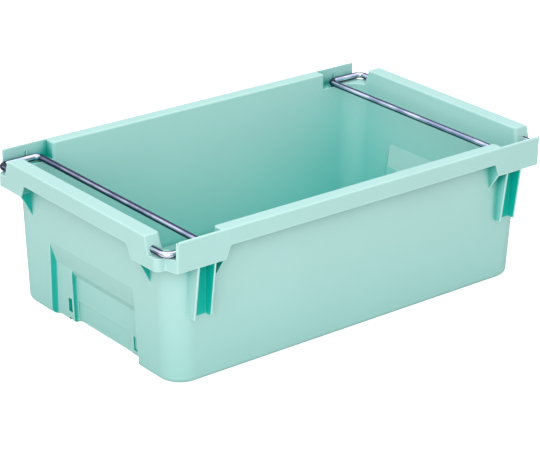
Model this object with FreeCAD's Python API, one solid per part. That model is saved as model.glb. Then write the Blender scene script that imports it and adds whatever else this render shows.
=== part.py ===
# Stack-and-nest tote with two swinging wire bails, in millimetres.
# X runs along the tote, Y across it and Z up. The origin is the middle of the underside.
import FreeCAD, Part
import math
import os

from FreeCAD import Vector

# Overall size, over the rim
rim_length = 658.0
rim_width = 400.0
tub_height = 210.0

# Body: drafted walls set in under the rim, with round corners
end_overhang = 20.0
side_overhang = 17.0
end_draft = 9.0
side_draft = 4.2
corner_radius = 33.0
base_round = 8.0
wall = 3.0
floor_thickness = 3.0

# Raised panel of the floor, which leaves a bearing ring round the underside
panel_margin = 32.0
panel_rise = 2.0
panel_corner = 24.0
panel_slope = 2.5

# Rim: an inverted channel all round, with its skirt hanging outside the walls
rim_top = 2.6
rim_edge_round = 1.6
mouth_round = 2.0
skirt = 2.8
main_skirt_drop = 23.0
corner_skirt_drop = 41.0
side_skirt_corner = 100.5
side_skirt_run = 6.5
end_skirt_corner = 82.0
end_skirt_run = 8.0
skirt_step_round = 4.0

# Corners: low seats for the bail arms, behind plates that carry on the long skirts
seat_drop = 23.5
seat_thickness = 2.6
seat_length = 88.0
seat_end_round = 4.0
cross_wall = 3.0
plate_setback = 19.0
plate_thickness = 3.0
plate_round = 5.0
plate_corner_round = 2.0
throat_setback = 13.4
throat_inset = 18.0
throat_round = 3.0
end_face_inset = 19.2
end_face_round = 8.0

# Low fins on the inner faces of the plates, beside the bail arms
fin_setback = 55.5
fin_width = 1.8
fin_reach = 1.6
fin_drop = 9.0

# Ends of the channel over each end wall, cut on a slant and drilled for the bail
flange_top_inset = 44.0
flange_foot_inset = 37.0
flange_end_wall = 3.5
flange_corner_round = 4.5

# Bails: one bent stainless wire at each end
wire = 9.0
pivot_setback = 9.0
pivot_drop = 18.0
arm_inset = 11.0
arm_length = 60.5
bar_bend = 9.0
hook_bend = 10.0
hook_depth = 10.0
pivot_gap = 0.08

# Ribs under the plates and gussets under the rim
rib_thickness = 2.8
rib_edge_round = 0.7
outer_rib_setback = 51.4
inner_rib_setback = 77.0
rib_foot_drop = 116.0
rib_foot_inset = 8.5
side_gusset_setback = 92.6
side_gusset_drop = 66.5
end_gusset_inset = 65.0
end_gusset_drop = 77.0
end_gusset_setback = 3.4

# Recess in each end wall: a land on one side, a deeper pocket and a card panel
recess_half = 101.5
recess_top = 110.5
recess_side_lean = 0.72
recess_side_draft_ratio = 0.05
recess_round = 3.0
recess_corner_round = 5.0
recess_foot_round = 13.0
recess_foot_bevel = 2.5
land_depth = 7.6
land_top = 79.0
pocket_depth = 14.4
pocket_top = 67.0
pocket_side_y = 58.4
card_depth = 15.6
card_low_y = -65.0
card_high_y = 56.0
card_top = 32.0

# Narrow slots beside the card panel and a notch in the foot of the land
slot_height = 20.5
land_slot_y = 65.7
land_slot_width = 9.0
land_slot_foot = 13.5
land_slot_depth = 5.0
pocket_slot_y = -74.5
pocket_slot_width = 8.0
pocket_slot_foot = 8.0
pocket_slot_depth = 2.2
notch_height = 5.0
notch_depth = 3.5

# Excess by which a cutting solid runs past what it cuts
past = 6.0

# Places that follow from the sizes above
end_x = rim_length / 2
side_y = rim_width / 2
seat_z = tub_height - seat_drop
low_skirt_z = tub_height - corner_skirt_drop
high_skirt_z = tub_height - main_skirt_drop
pivot_z = tub_height - pivot_drop
plate_x = end_x - plate_setback
plate_inner_y = side_y - plate_thickness


def near(a, b):
    return math.isclose(a, b, abs_tol=1e-6)


def mirror_x(shape):
    return shape.mirror(Vector(0, 0, 0), Vector(1, 0, 0))


def mirror_y(shape):
    return shape.mirror(Vector(0, 0, 0), Vector(0, 1, 0))


def both_ends(shape):
    return [shape, mirror_x(shape)]


def four_corners(shape):
    return both_ends(shape) + both_ends(mirror_y(shape))


def flat_face(points):
    return Part.Face(Part.makePolygon(points + points[:1]))


def tapered_block(low, high):
    """Solid with flat sides between two outlines, both anticlockwise from above."""
    faces = [flat_face(low[::-1]), flat_face(high)]
    for i in range(len(low)):
        j = (i + 1) % len(low)
        faces.append(flat_face([low[i], low[j], high[j], high[i]]))
    return Part.Solid(Part.Shell(faces))


def prism_along_y(points, y_low, y_high):
    """Extrudes an outline of (x, z) points from y_low to y_high."""
    face = flat_face([Vector(x, y_low, z) for x, z in points])
    return face.extrude(Vector(0, y_high - y_low, 0))


def prism_along_x(points, x_low, x_high):
    """Extrudes an outline of (y, z) points from x_low to x_high."""
    face = flat_face([Vector(x_low, y, z) for y, z in points])
    return face.extrude(Vector(x_high - x_low, 0, 0))


def rectangle(half_x, half_y, z):
    return [Vector(half_x, half_y, z), Vector(-half_x, half_y, z),
            Vector(-half_x, -half_y, z), Vector(half_x, -half_y, z)]


def edges_at_height(shape, z):
    return [e for e in shape.Edges if all(near(v.Z, z) for v in e.Vertexes)]


def rising_edges(shape, z_low, z_high):
    """Edges that run from one height to the other."""
    found = []
    for edge in shape.Edges:
        heights = sorted(v.Z for v in edge.Vertexes)
        if near(heights[0], z_low) and near(heights[-1], z_high):
            found.append(edge)
    return found


def wall_x(z):
    """Outer face of the end wall at height z."""
    return end_x - end_overhang - end_draft * (1 - z / tub_height)


def wall_y(z):
    """Outer face of the long wall at height z."""
    return side_y - side_overhang - side_draft * (1 - z / tub_height)


def drafted_block(z_low, z_high, inset):
    """Block with the body's draft and round corners, moved inwards by inset."""
    low = rectangle(wall_x(z_low) - inset, wall_y(z_low) - inset, z_low)
    high = rectangle(wall_x(z_high) - inset, wall_y(z_high) - inset, z_high)
    block = tapered_block(low, high)
    return block.makeFillet(corner_radius - inset, rising_edges(block, z_low, z_high))


def panel_block(z_low, grow):
    """Block of the floor's raised panel, narrower towards its top."""
    half_x = wall_x(0) - panel_margin + grow
    half_y = wall_y(0) - panel_margin + grow
    z_high = z_low + panel_rise
    block = tapered_block(rectangle(half_x, half_y, z_low),
                          rectangle(half_x - panel_slope, half_y - panel_slope, z_high))
    return block.makeFillet(panel_corner, rising_edges(block, z_low, z_high))


def rim_outline(inset):
    """Plan of the rim as a face, moved inwards by inset."""
    corner = [(end_x, side_y - end_face_inset),
              (end_x - throat_setback, side_y - throat_inset), (plate_x, side_y)]
    points = corner + [(-x, y) for x, y in reversed(corner)]
    points += [(-x, -y) for x, y in points]
    face = flat_face([Vector(x, y, 0) for x, y in points])
    if inset:
        face = face.makeOffset2D(-inset, 2)
    return face


def rim_block(inset, z_low, z_high):
    face = rim_outline(inset)
    face.translate(Vector(0, 0, z_low))
    return face.extrude(Vector(0, 0, z_high - z_low))


def rim_outside():
    """Solid outline of the rim with its plan corners and top edge rounded."""
    block = rim_block(0, low_skirt_z, tub_height)
    for x, y, radius in ((end_x, side_y - end_face_inset, end_face_round),
                         (end_x - throat_setback, side_y - throat_inset, throat_round),
                         (plate_x, side_y, plate_corner_round)):
        edges = [e for e in rising_edges(block, low_skirt_z, tub_height)
                 if near(abs(e.Vertexes[0].X), x) and near(abs(e.Vertexes[0].Y), y)]
        block = block.makeFillet(radius, edges)
    return block.makeFillet(rim_edge_round, edges_at_height(block, tub_height))


def seat_notches(grow):
    """Space over the four seats, or the larger block that keeps the cavity off them."""
    lean = (flange_top_inset - flange_foot_inset) / seat_drop
    foot_z = seat_z - (seat_thickness if grow else 0)
    top_z = tub_height + past
    shift = flange_end_wall * math.hypot(1, lean) if grow else 0
    foot_y = side_y - flange_foot_inset + lean * (seat_z - foot_z) - shift
    top_y = side_y - flange_top_inset - lean * past - shift
    points = [(top_y, top_z), (foot_y, foot_z), (plate_inner_y, foot_z), (plate_inner_y, top_z)]
    x_low = end_x - seat_length - (cross_wall if grow else 0)
    return four_corners(prism_along_x(points, x_low, end_x + past))


def skirt_cuts():
    """Raises the foot of the skirt between the low corners."""
    half_x = end_x - side_skirt_corner
    half_y = side_y - end_skirt_corner
    low_x = half_x + side_skirt_run
    low_y = half_y + end_skirt_run
    z_low = low_skirt_z - past
    long_points = [(-low_x, z_low), (-low_x, low_skirt_z), (-half_x, high_skirt_z),
                   (half_x, high_skirt_z), (low_x, low_skirt_z), (low_x, z_low)]
    end_points = [(-low_y, z_low), (-low_y, low_skirt_z), (-half_y, high_skirt_z),
                  (half_y, high_skirt_z), (low_y, low_skirt_z), (low_y, z_low)]
    cuts = [prism_along_y(long_points, -rim_width, rim_width),
            prism_along_x(end_points, -rim_length, rim_length)]
    rounded = []
    for cut in cuts:
        edges = [e for e in edges_at_height(cut, high_skirt_z) if e.Length > rim_width]
        rounded.append(cut.makeFillet(skirt_step_round, edges))
    return rounded


def plate_trims():
    """Rounds the upper corners of the plates."""
    k = plate_round
    box = Part.makeBox(k, plate_thickness + 2 * past, k,
                       Vector(plate_x - k, plate_inner_y - past, tub_height - k))
    disc = Part.makeCylinder(k, plate_thickness + 2 * past,
                             Vector(plate_x - k, plate_inner_y - past, tub_height - k),
                             Vector(0, 1, 0))
    return four_corners(box.cut(disc))


def rim_shell():
    """The rim's channel with its skirt, and solid round the seats."""
    high_cavity = rim_block(skirt, low_skirt_z - past, tub_height - rim_top)
    low_cavity = rim_block(skirt, low_skirt_z - past, seat_z - seat_thickness)
    cavities = [high_cavity.cut(seat_notches(True)), low_cavity]
    return rim_outside().cut(cavities + skirt_cuts() + plate_trims())


def recess_profile(depth, top, z_low):
    """Outline in X and Z of a level of the recess, with its back parallel to the wall."""
    edge_x = wall_x(land_top) - land_depth
    lean = (recess_top - land_top) / (wall_x(recess_top) - edge_x)
    bend = [(edge_x, land_top)] if top < land_top else []
    out_x = wall_x(recess_top) + past
    return [(wall_x(z_low) - depth, z_low), (wall_x(top) - depth, top)] + bend + [
        (out_x, recess_top + past * lean), (out_x, z_low)]


def between_recess_sides(grow):
    """Block between the two leaning side walls of the recess."""
    x_low = wall_x(0) - card_depth - past
    x_high = end_x + past
    z_low = -past - grow
    z_high = tub_height
    shift = grow * math.hypot(1, recess_side_lean)
    outlines = []
    for z in (z_low, z_high):
        half = recess_half - recess_side_draft_ratio * z + shift
        inner = half - recess_side_lean * (wall_x(z) - x_low)
        outer = half + recess_side_lean * (x_high - wall_x(z))
        outlines.append([Vector(x_low, -inner, z), Vector(x_high, -outer, z),
                         Vector(x_high, outer, z), Vector(x_low, inner, z)])
    return tapered_block(*outlines)


def recess_block(depth, top, y_low, y_high, grow):
    """One level of the recess in the +X end wall, grown by grow for its inner skin."""
    outline = recess_profile(depth, top, -past)
    face = flat_face([Vector(x, 0, z) for x, z in outline])
    if grow:
        face = face.makeOffset2D(grow, 2)
    face.translate(Vector(0, y_low - grow, 0))
    prism = face.extrude(Vector(0, y_high - y_low + 2 * grow, 0))
    return prism.common(between_recess_sides(grow))


def leaning_edges(block):
    """Edges above the underside that turn neither along X nor along Y."""
    return [e for e in block.Edges
            if not near(e.Vertexes[0].X, e.Vertexes[-1].X)
            and not near(e.Vertexes[0].Y, e.Vertexes[-1].Y)
            and min(v.Z for v in e.Vertexes) > 0]


def rounded_recess(block, grow):
    """Rounds the upper corners of a recess level and the edges of its back."""
    block = block.makeFillet(recess_corner_round + grow, leaning_edges(block))
    back = [e for e in block.Edges
            if all(v.X < wall_x(0) for v in e.Vertexes) and max(v.Z for v in e.Vertexes) > 0]
    return block.makeFillet(recess_round + grow, back)


def end_prism(depth, y_low, y_high, z_low, z_high):
    """Cut in the +X end whose back is parallel to the wall at a depth behind it."""
    out_x = end_x + past
    points = [(wall_x(z_low) - depth, z_low), (wall_x(z_high) - depth, z_high),
              (out_x, z_high), (out_x, z_low)]
    return prism_along_y(points, y_low, y_high)


def foot_bevel(depth, y_low, y_high):
    """Takes the sharp edge off the underside below a level of the recess."""
    k = recess_foot_bevel
    foot_x = wall_x(0) - depth
    points = [(foot_x - k, -past), (foot_x - k, 0), (wall_x(k) - depth, k), (end_x, k),
              (end_x, -past)]
    return prism_along_y(points, y_low, y_high)


def recess_cuts():
    """Everything that is cut from the outside of the +X end wall."""
    land = rounded_recess(recess_block(land_depth, land_top, -side_y, side_y, 0), 0)
    pocket = rounded_recess(recess_block(pocket_depth, pocket_top, -side_y, pocket_side_y, 0), 0)
    card = end_prism(card_depth, card_low_y, card_high_y, -past, card_top)
    cuts = [land, pocket, card]
    for y, width, depth, foot in (
            (land_slot_y, land_slot_width, land_depth + land_slot_depth, land_slot_foot),
            (pocket_slot_y, pocket_slot_width, pocket_depth + pocket_slot_depth,
             pocket_slot_foot)):
        cuts.append(end_prism(depth, y - width / 2, y + width / 2, foot, foot + slot_height))
    cuts.append(end_prism(land_depth + notch_depth, land_slot_y - land_slot_width / 2,
                          land_slot_y + land_slot_width / 2, -past, notch_height))
    inner_half = recess_half - recess_side_lean * pocket_depth
    cuts.append(foot_bevel(land_depth, pocket_side_y, recess_half - recess_side_lean * land_depth))
    cuts.append(foot_bevel(pocket_depth, -inner_half, pocket_side_y))
    cuts.append(foot_bevel(card_depth, card_low_y, card_high_y))
    k = recess_foot_round
    foot_x = wall_x(0) - pocket_depth
    box = Part.makeBox(end_x - foot_x, k, k, Vector(foot_x, -recess_half - k, 0))
    disc = Part.makeCylinder(k, end_x - foot_x, Vector(foot_x, -recess_half - k, k),
                             Vector(1, 0, 0))
    cuts.append(box.cut(disc))
    return cuts


def recess_skins():
    """Inner skins of the recess, which the inside of the tub must clear."""
    slot_edge = land_slot_y + land_slot_width / 2
    return [rounded_recess(recess_block(land_depth, land_top, -side_y, side_y, wall), wall),
            rounded_recess(recess_block(card_depth, pocket_top, -side_y, slot_edge, wall), wall)]


def hollow():
    """The space inside the tub and over its seats, with the corners of the rim rounded."""
    top_z = tub_height + past
    space = drafted_block(floor_thickness, top_z, wall)
    space = space.makeFillet(base_round - wall / 2, edges_at_height(space, floor_thickness))
    space = space.fuse(seat_notches(False)).removeSplitter()
    for radius, at_seat_end in ((seat_end_round, True), (flange_corner_round, False)):
        edges = []
        for edge in rising_edges(space, seat_z, top_z):
            x = abs(edge.Vertexes[0].X)
            y = max(abs(v.Y) for v in edge.Vertexes)
            beside_mouth = x < end_x and y < wall_y(tub_height)
            if beside_mouth and near(x, end_x - seat_length) == at_seat_end:
                edges.append(edge)
        space = space.makeFillet(radius, edges)
    skins = []
    for skin in recess_skins():
        skins += both_ends(skin)
    return space.cut(skins + [panel_block(floor_thickness, wall / 2)]), mouth(space)


def mouth(space):
    """The top of the space, widened by the rounding of the mouth's upper edge."""
    depth = 2 * mouth_round
    slab = Part.makeBox(rim_length, rim_width, depth,
                        Vector(-end_x, -side_y, tub_height - depth))
    frame = slab.cut(space)
    edges = [e for e in edges_at_height(frame, tub_height)
             if all(abs(v.X) < end_x - wall and abs(v.Y) < plate_inner_y - wall
                    for v in e.Vertexes)]
    return slab.cut(frame.makeFillet(mouth_round, edges))


def soften(rib):
    """Rounds the free edges of a rib, which rise from its foot to the skirt and beyond."""
    edges = []
    for edge in rib.Edges:
        heights = sorted(v.Z for v in edge.Vertexes)
        near_skirt = any(near(z, low_skirt_z) for z in heights)
        if near_skirt and heights[1] - heights[0] > rib_thickness:
            edges.append(edge)
    return rib.makeFillet(rib_edge_round, edges)


def ribs():
    """Ribs and gussets that carry the rim on the walls, for all four corners."""
    root_x = wall_x(0)
    root_y = wall_y(0)
    under_seat = seat_z - seat_thickness / 2
    half = rib_thickness / 2
    shapes = []
    foot_z = tub_height - rib_foot_drop
    points = [(root_y, under_seat), (plate_inner_y + plate_thickness / 2, under_seat),
              (side_y, low_skirt_z), (side_y - rib_foot_inset, foot_z),
              (root_y - wall / 2, foot_z)]
    for setback in (outer_rib_setback, inner_rib_setback):
        x = end_x - setback
        shapes += four_corners(soften(prism_along_x(points, x - half, x + half)))
    side = side_y - skirt / 2
    foot_z = tub_height - side_gusset_drop
    points = [(root_y, high_skirt_z), (side, high_skirt_z), (side, low_skirt_z),
              (wall_y(foot_z), foot_z), (root_y, foot_z)]
    x = end_x - side_gusset_setback
    shapes += four_corners(soften(prism_along_x(points, x - half, x + half)))
    end = end_x - skirt / 2
    foot_z = tub_height - end_gusset_drop
    points = [(root_x, high_skirt_z), (end, high_skirt_z), (end_x - end_gusset_setback, low_skirt_z),
              (wall_x(foot_z), foot_z), (root_x, foot_z)]
    y = side_y - end_gusset_inset
    shapes += four_corners(soften(prism_along_y(points, y - half, y + half)))
    return shapes


def fins():
    """Upright fins on the plates beside the bail arms."""
    fin = Part.makeBox(fin_width, fin_reach + plate_thickness / 2,
                       seat_drop - fin_drop + seat_thickness / 2,
                       Vector(end_x - fin_setback - fin_width / 2, plate_inner_y - fin_reach,
                              seat_z - seat_thickness / 2))
    return four_corners(fin)


def pivot_holes():
    """Bores for the bail ends through the slanted ends of the channel."""
    radius = wire / 2 + pivot_gap
    x = end_x - pivot_setback
    return both_ends(Part.makeCylinder(radius, rim_width, Vector(x, -side_y, pivot_z),
                                       Vector(0, 1, 0)))


def tub():
    outer = drafted_block(0, tub_height, 0)
    outer = outer.makeFillet(base_round, edges_at_height(outer, 0))
    space, flared = hollow()
    shape = outer.fuse(rim_shell())
    shape = shape.fuse(ribs())
    cuts = [space, flared, panel_block(0, 0)]
    for cut in recess_cuts():
        cuts += both_ends(cut)
    for cut in cuts + pivot_holes():
        shape = shape.cut(cut)
    return shape.fuse(fins()).removeSplitter()


def bail():
    """The wire at the +X end: hook, arm, bar, arm and hook."""
    pivot_x = end_x - pivot_setback
    arm_y = side_y - arm_inset
    bar_x = pivot_x - arm_length
    hook_end = side_y - flange_foot_inset - hook_depth
    k = 1 - math.cos(math.pi / 4)

    def at(x, y):
        return Vector(x, y, pivot_z)

    def line(start, finish):
        return Part.LineSegment(start, finish).toShape()

    def side(s):
        hook = Part.Arc(at(pivot_x, s * (arm_y - hook_bend)),
                        at(pivot_x - hook_bend * k, s * (arm_y - hook_bend * k)),
                        at(pivot_x - hook_bend, s * arm_y))
        corner = Part.Arc(at(bar_x + bar_bend, s * arm_y),
                          at(bar_x + bar_bend * k, s * (arm_y - bar_bend * k)),
                          at(bar_x, s * (arm_y - bar_bend)))
        return [line(at(pivot_x, s * hook_end), at(pivot_x, s * (arm_y - hook_bend))),
                hook.toShape(),
                line(at(pivot_x - hook_bend, s * arm_y), at(bar_x + bar_bend, s * arm_y)),
                corner.toShape()]

    bar = line(at(bar_x, arm_y - bar_bend), at(bar_x, bar_bend - arm_y))
    path = Part.Wire(Part.__sortEdges__(side(1) + [bar] + side(-1)))
    circle = Part.Wire(Part.makeCircle(wire / 2, at(pivot_x, hook_end), Vector(0, 1, 0)))
    return path.makePipeShell([circle], True, False)


os.makedirs("parts", exist_ok=True)
right = bail()
tub().exportStep("parts/tub.step")
mirror_x(right).exportStep("parts/left_bail.step")
right.exportStep("parts/right_bail.step")
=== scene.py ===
# Looks of an open moulded tub with two swinging wire bails: camera, light, floor and finishes.
# Lengths are in metres. X runs along the tub, Y across it and Z up.
import math

import bpy
from mathutils import Matrix, Vector

# Camera, fitted to the corners of the side plates and the two near foot edges
camera_place = Vector((-1.712176, -2.107276, 1.236558))
camera_turn = math.radians(39.0153)
camera_dip = math.radians(22.9252)
camera_roll = math.radians(0.8767)
camera_lens = 141.744
camera_reach = 100.0
sensor_width = 36.0

# Square lamps, both aimed at the middle of the tub
lamp_aim = Vector((0.0, 0.0, 0.1))
key_place = Vector((-2.2, -2.0, 1.5))
key_size = 2.8
key_power = 55.0
top_place = Vector((0.6, 0.6, 3.0))
top_size = 3.0
top_power = 34.0

# Room and floor
plain_white = (1.0, 1.0, 1.0, 1.0)
room_strength = 0.80
backdrop_strength = 1.0
floor_size = 40.0
floor_colour = (0.62, 0.62, 0.62, 1.0)
floor_roughness = 0.9
floor_glow = 0.9

# What shiny metal reflects of the room, from the horizon to overhead
shine_horizon = (0.02, 0.03, 0.10, 1.0)
shine_overhead = (0.30, 0.31, 0.50, 1.0)
shine_between = (
    (0.14, (0.03, 0.04, 0.13, 1.0)),
    (0.34, (0.85, 0.85, 1.10, 1.0)),
    (0.55, (1.10, 1.10, 1.25, 1.0)),
    (0.80, (0.90, 0.90, 1.10, 1.0)),
)

# Mint plastic: its own colour on open walls, painted shade near the foot, inside, in gaps and in rib
# bays, and a painted highlight on edges
mint = (0.428, 0.690, 0.652, 1.0)
# Painted shade: the mint turns darker towards the foot
painted_foot_shade = (0.310, 0.635, 0.580, 1.0)
# Painted shade inside the tub
painted_inside_shade = (0.185, 0.670, 0.620, 1.0)
# Painted shade in gaps, creases and on the recess sides
painted_deep_shade = (0.003, 0.390, 0.320, 1.0)
# Painted shadow in the bays between the ribs
painted_bay_shadow = (0.000, 0.500, 0.410, 1.0)
# Painted highlight along edges
painted_edge_highlight = (0.640, 0.900, 0.850, 1.0)
plastic_roughness = 0.46
plastic_ior = 1.49
plastic_gloss = 0.35
# Heights over which the painted shade at the foot fades into the open-wall mint
foot_to_rim = (-0.12, 0.19)

# How far the plastic looks around itself, and the openness over which painted shade inside the tub and
# in gaps sets in
room_reach = 0.25
room_openness = (0.10, 0.85)
gap_reach = 0.03
gap_openness = (0.40, 0.80)
openness_samples = 8

# Slopes that face partly upwards, by the height of their normal, which get a painted highlight
shelf_start = (0.12, 0.20)
shelf_end = (0.60, 0.40)

# Faint clouding and fine grain of the moulding, and the range of a noise
noise_range = (0.0, 1.0)
cloud_scale = 9.0
cloud_detail = 3.0
cloud_tint = (0.97, 1.03)
grain_scale = 900.0
grain_detail = 2.0
grain_strength = 0.12
grain_depth = 0.0002

# Rounding of the moulded edges, and the painted highlight along them
rounding_radius = 0.0009
edge_radius = 0.0020
edge_turn = (0.9995, 0.97)
edge_highlight_range = (0.0, 0.9)
bevel_samples = 6

# Sides of the recesses and gussets of the end walls, which get painted shade, in the tub's own
# coordinates
recess_reach_x = 0.283
recess_reach_y = 0.145
recess_reach_z = 0.168
recess_side_turn = (0.30, 0.60)

# Bays between the two long ribs of each corner, which get a painted shadow
bay_x = (0.2515, 0.2775)
bay_y = (0.1800, 0.1842)
bay_z = (0.0940, 0.1870)
rib_face_turn = 0.5

# Stainless wire: its colours where polished and where dull, and a painted dark reflection along its
# turned sides
steel_bright = (0.84, 0.88, 0.98, 1.0)
steel_grey = (0.42, 0.47, 0.62, 1.0)
painted_dark_reflection = (0.010, 0.015, 0.06, 1.0)
steel_side = (0.30, 0.47)
dull_scale = 28.0
dull_detail = 4.0
dull_share = (0.35, 0.60)
steel_roughness = (0.12, 0.30)
draw_scale = 1200.0
draw_detail = 2.0
draw_strength = 0.1
draw_depth = 0.0001

# Colour sockets of a Mix node, and rows and columns in which a material's nodes are set out
mix_start = 6
mix_end = 7
mix_result = 2
nodes_in_row = 8
node_column = 220
node_row = 320


def make_camera():
    data = bpy.data.cameras.new("camera")
    data.lens = camera_lens
    data.sensor_width = sensor_width
    data.clip_end = camera_reach
    camera = bpy.data.objects.new("camera", data)
    bpy.context.scene.collection.objects.link(camera)
    turn = Matrix.Rotation(-camera_turn, 4, "Z")
    dip = Matrix.Rotation(math.pi / 2 - camera_dip, 4, "X")
    roll = Matrix.Rotation(camera_roll, 4, "Z")
    camera.matrix_world = Matrix.Translation(camera_place) @ turn @ dip @ roll
    bpy.context.scene.camera = camera


def make_lamp(name, place, size, power):
    data = bpy.data.lights.new(name, "AREA")
    data.size = size
    data.energy = power
    lamp = bpy.data.objects.new(name, data)
    bpy.context.scene.collection.objects.link(lamp)
    lamp.location = place
    lamp.rotation_mode = "QUATERNION"
    lamp.rotation_quaternion = (lamp_aim - place).to_track_quat("-Z", "Y")


def feed(tree, made, inputs):
    """Gives each input a value, or links it to the output of another node."""
    for name, value in inputs.items():
        if isinstance(value, bpy.types.NodeSocket):
            tree.links.new(value, made.inputs[name])
        else:
            made.inputs[name].default_value = value


def node(tree, kind, inputs, **settings):
    """Adds a node with its settings, and then feeds its inputs."""
    made = tree.nodes.new(kind)
    for name, value in settings.items():
        setattr(made, name, value)
    feed(tree, made, inputs)
    return made


def set_out(tree):
    """Sets the nodes out in rows, in the order in which they were added."""
    for count, made in enumerate(tree.nodes):
        row, column = divmod(count, nodes_in_row)
        made.location = (column * node_column, -row * node_row)


def math_node(tree, operation, *values):
    """One step of arithmetic on outputs or numbers."""
    return node(tree, "ShaderNodeMath", dict(enumerate(values)), operation=operation).outputs["Value"]


def all_of(tree, *masks):
    """Product of masks: one only where every one of them is one."""
    product = masks[0]
    for mask in masks[1:]:
        product = math_node(tree, "MULTIPLY", product, mask)
    return product


def between(tree, value, limits):
    """One while the value lies between two limits, and nought elsewhere."""
    above = math_node(tree, "GREATER_THAN", value, limits[0])
    below = math_node(tree, "LESS_THAN", value, limits[1])
    return all_of(tree, above, below)


def step_over(tree, value, limits):
    """Runs smoothly from 0 to 1 while the value goes from the first limit to the second."""
    inputs = {"Value": value, "From Min": limits[0], "From Max": limits[1]}
    step = node(tree, "ShaderNodeMapRange", inputs, interpolation_type="SMOOTHSTEP")
    return step.outputs["Result"]


def stretch(tree, value, start, end):
    """Carries the value evenly from the start range to the end range."""
    inputs = {
        "Value": value,
        "From Min": start[0],
        "From Max": start[1],
        "To Min": end[0],
        "To Max": end[1],
    }
    return node(tree, "ShaderNodeMapRange", inputs).outputs["Result"]


def blend(tree, factor, start, end):
    """Colour that goes from start to end by a factor."""
    inputs = {"Factor": factor, mix_start: start, mix_end: end}
    return node(tree, "ShaderNodeMix", inputs, data_type="RGBA").outputs[mix_result]


def noise(tree, place, scale, detail):
    inputs = {"Vector": place, "Scale": scale, "Detail": detail}
    return node(tree, "ShaderNodeTexNoise", inputs).outputs["Fac"]


def along_axes(tree, vector):
    """X, Y and Z of a place or a normal."""
    parts = node(tree, "ShaderNodeSeparateXYZ", {"Vector": vector})
    return [parts.outputs[axis] for axis in "XYZ"]


def new_material(name):
    material = bpy.data.materials.new(name)
    material.use_nodes = True
    tree = material.node_tree
    return material, tree, tree.nodes["Principled BSDF"]


def reflected_room(tree):
    """Background for shiny metal: dark at the horizon and bright above it."""
    direction = node(tree, "ShaderNodeTexCoord", {}).outputs["Generated"]
    height = along_axes(tree, direction)[2]
    colours = node(tree, "ShaderNodeValToRGB", {"Fac": height})
    ramp = colours.color_ramp
    ramp.elements[0].color = shine_horizon
    ramp.elements[1].color = shine_overhead
    for position, colour in shine_between:
        ramp.elements.new(position).color = colour
    return node(tree, "ShaderNodeBackground", {"Color": colours.outputs["Color"]})


def make_world():
    """Even white room light, and plain white where the camera looks past the tub."""
    world = bpy.data.worlds.new("room")
    bpy.context.scene.world = world
    world.use_nodes = True
    tree = world.node_tree
    light = tree.nodes["Background"]
    feed(tree, light, {"Color": plain_white, "Strength": room_strength})
    reflected = reflected_room(tree)
    backdrop = node(tree, "ShaderNodeBackground", {"Color": plain_white, "Strength": backdrop_strength})
    ray = node(tree, "ShaderNodeLightPath", {})
    lit = node(tree, "ShaderNodeMixShader", {
        "Fac": ray.outputs["Is Glossy Ray"],
        1: light.outputs["Background"],
        2: reflected.outputs["Background"],
    })
    seen = node(tree, "ShaderNodeMixShader", {
        "Fac": ray.outputs["Is Camera Ray"],
        1: lit.outputs["Shader"],
        2: backdrop.outputs["Background"],
    })
    feed(tree, tree.nodes["World Output"], {"Surface": seen.outputs["Shader"]})
    set_out(tree)


def floor_paper():
    """Pale paper that reads white to the camera away from the tub's shadow."""
    material, tree, shader = new_material("floor_paper")
    feed(tree, shader, {"Base Color": floor_colour, "Roughness": floor_roughness})
    glow = node(tree, "ShaderNodeEmission", {"Color": plain_white, "Strength": floor_glow})
    glowing = node(tree, "ShaderNodeAddShader", {0: shader.outputs["BSDF"], 1: glow.outputs["Emission"]})
    ray = node(tree, "ShaderNodeLightPath", {})
    seen = node(tree, "ShaderNodeMixShader", {
        "Fac": ray.outputs["Is Camera Ray"],
        1: shader.outputs["BSDF"],
        2: glowing.outputs["Shader"],
    })
    feed(tree, tree.nodes["Material Output"], {"Surface": seen.outputs["Shader"]})
    set_out(tree)
    return material


def make_floor():
    bpy.ops.object.select_all(action="DESELECT")
    bpy.ops.mesh.primitive_plane_add(size=floor_size, location=(0, 0, 0))
    floor = bpy.context.object
    floor.name = "floor"
    floor.data.materials.append(floor_paper())


def openness(tree, reach, limits):
    """How open the tub's own surface lies to the air within a reach, from 0 to 1 over the limits."""
    around = node(tree, "ShaderNodeAmbientOcclusion", {"Distance": reach},
                  samples=openness_samples, only_local=True)
    return step_over(tree, around.outputs["AO"], limits)


def rounded(tree, radius):
    """Normal of the surface with its edges rounded by a radius."""
    return node(tree, "ShaderNodeBevel", {"Radius": radius}, samples=bevel_samples).outputs["Normal"]


def recess_shade_mask(tree, place, facing):
    """One on the side walls of the end recesses and gussets, where painted shade is laid, and nought
    elsewhere.
    """
    x, y = (math_node(tree, "ABSOLUTE", value) for value in place[:2])
    sideways = math_node(tree, "ABSOLUTE", facing[1])
    at_end = math_node(tree, "GREATER_THAN", x, recess_reach_x)
    inward = math_node(tree, "LESS_THAN", y, recess_reach_y)
    low = math_node(tree, "LESS_THAN", place[2], recess_reach_z)
    return all_of(tree, at_end, inward, low, step_over(tree, sideways, recess_side_turn))


def bay_shadow_mask(tree, place, facing):
    """One on the wall and the rib faces inside a bay, where a painted shadow is laid, and nought
    elsewhere.
    """
    x, y = (math_node(tree, "ABSOLUTE", value) for value in place[:2])
    lengthways = math_node(tree, "ABSOLUTE", facing[0])
    on_wall = between(tree, y, bay_y)
    outside = math_node(tree, "GREATER_THAN", y, bay_y[0])
    on_rib = all_of(tree, outside, math_node(tree, "GREATER_THAN", lengthways, rib_face_turn))
    either = math_node(tree, "MAXIMUM", on_wall, on_rib)
    return all_of(tree, between(tree, x, bay_x), between(tree, place[2], bay_z), either)


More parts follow.
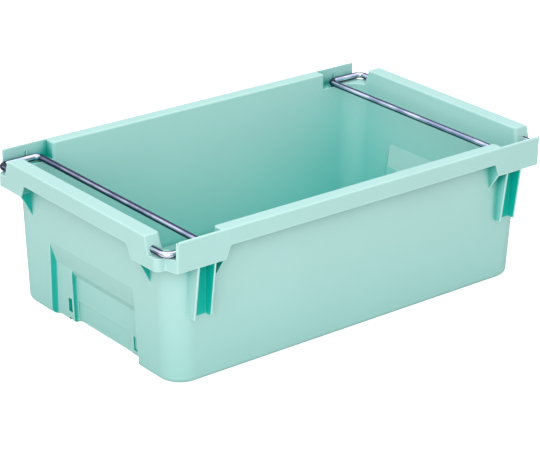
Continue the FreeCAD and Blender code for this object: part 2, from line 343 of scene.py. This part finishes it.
def shelf_highlight_mask(tree, facing):
    """One on faces that slope partly upwards, where a painted highlight is laid, and nought on walls and
    on level faces.
    """
    return all_of(tree, step_over(tree, facing[2], shelf_start), step_over(tree, facing[2], shelf_end))


def edge_highlight_strength(tree, normal):
    """How strongly the painted edge highlight shows, from how far an edge turns the normal."""
    inputs = {0: rounded(tree, edge_radius), 1: normal}
    turned = node(tree, "ShaderNodeVectorMath", inputs, operation="DOT_PRODUCT")
    return stretch(tree, turned.outputs["Value"], edge_turn, edge_highlight_range)


def plastic_shade(tree, spot, normal):
    """Colour of the moulding on open walls, with painted shade at the foot, inside, in gaps, on recess
    sides and in bays, and painted highlights on shelves and edges.
    """
    place = along_axes(tree, spot)
    facing = along_axes(tree, normal)
    # Painted shade: darker towards the foot, lighter towards the rim
    shade = blend(tree, step_over(tree, place[2], foot_to_rim), painted_foot_shade, mint)
    # Painted shade inside the tub, where the tub itself closes in the surface
    shade = blend(tree, openness(tree, room_reach, room_openness), painted_inside_shade, shade)
    # Painted highlight: upward slopes are lightened to the open-wall mint
    shade = blend(tree, shelf_highlight_mask(tree, facing), shade, mint)
    # Painted shade in gaps and creases, deepest where little air lies close by
    gap = openness(tree, gap_reach, gap_openness)
    shade = blend(tree, gap, painted_deep_shade, shade)
    # Painted shade on the side walls of the end recesses and gussets
    shade = blend(tree, recess_shade_mask(tree, place, facing), shade, painted_deep_shade)
    # Painted shadow in the bays between the ribs
    shade = blend(tree, bay_shadow_mask(tree, place, facing), shade, painted_bay_shadow)
    # Painted highlight along convex edges, kept out of gaps
    return blend(tree, all_of(tree, edge_highlight_strength(tree, normal), gap), shade, painted_edge_highlight)


def tub_plastic():
    """Satin moulded polypropylene: pale on open faces, with painted shade deeper in corners and cavities
    and painted highlights on edges and upward slopes.
    """
    material, tree, shader = new_material("mint_polypropylene")
    spot = node(tree, "ShaderNodeTexCoord", {}).outputs["Object"]
    normal = node(tree, "ShaderNodeNewGeometry", {}).outputs["Normal"]
    clouding = stretch(tree, noise(tree, spot, cloud_scale, cloud_detail), noise_range, cloud_tint)
    tint = node(tree, "ShaderNodeHueSaturation", {
        "Color": plastic_shade(tree, spot, normal),
        "Value": clouding,
    })
    grain = node(tree, "ShaderNodeBump", {
        "Height": noise(tree, spot, grain_scale, grain_detail),
        "Strength": grain_strength,
        "Distance": grain_depth,
        "Normal": rounded(tree, rounding_radius),
    })
    feed(tree, shader, {
        "Base Color": tint.outputs["Color"],
        "Roughness": plastic_roughness,
        "IOR": plastic_ior,
        "Specular IOR Level": plastic_gloss,
        "Normal": grain.outputs["Normal"],
    })
    set_out(tree)
    return material


def bail_steel():
    """Bright drawn stainless wire with fine draw lines, a few dull patches and a painted dark reflection
    along its turned sides.
    """
    material, tree, shader = new_material("drawn_stainless")
    spot = node(tree, "ShaderNodeTexCoord", {}).outputs["Object"]
    patches = noise(tree, spot, dull_scale, dull_detail)
    core = blend(tree, step_over(tree, patches, dull_share), steel_grey, steel_bright)
    turned = node(tree, "ShaderNodeLayerWeight", {}).outputs["Facing"]
    draw_lines = node(tree, "ShaderNodeBump", {
        "Height": noise(tree, spot, draw_scale, draw_detail),
        "Strength": draw_strength,
        "Distance": draw_depth,
    })
    feed(tree, shader, {
        # Painted reflection: the sides that turn away from the view are darkened
        "Base Color": blend(tree, step_over(tree, turned, steel_side), core, painted_dark_reflection),
        "Metallic": 1.0,
        "Roughness": stretch(tree, patches, noise_range, steel_roughness),
        "Normal": draw_lines.outputs["Normal"],
    })
    set_out(tree)
    return material


def dress(name, material):
    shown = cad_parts[name]
    shown.data.materials.clear()
    shown.data.materials.append(material)


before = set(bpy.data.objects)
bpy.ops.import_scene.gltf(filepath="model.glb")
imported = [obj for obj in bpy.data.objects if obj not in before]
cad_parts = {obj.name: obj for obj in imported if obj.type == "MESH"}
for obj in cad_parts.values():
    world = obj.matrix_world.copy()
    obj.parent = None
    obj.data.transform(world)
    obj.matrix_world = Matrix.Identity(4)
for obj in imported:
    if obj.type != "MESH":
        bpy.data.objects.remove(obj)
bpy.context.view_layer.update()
bpy.context.scene.view_settings.view_transform = "Standard"
make_camera()
make_world()
make_floor()
make_lamp("key", key_place, key_size, key_power)
make_lamp("top", top_place, top_size, top_power)
dress("tub", tub_plastic())
steel = bail_steel()
dress("left_bail", steel)
dress("right_bail", steel)
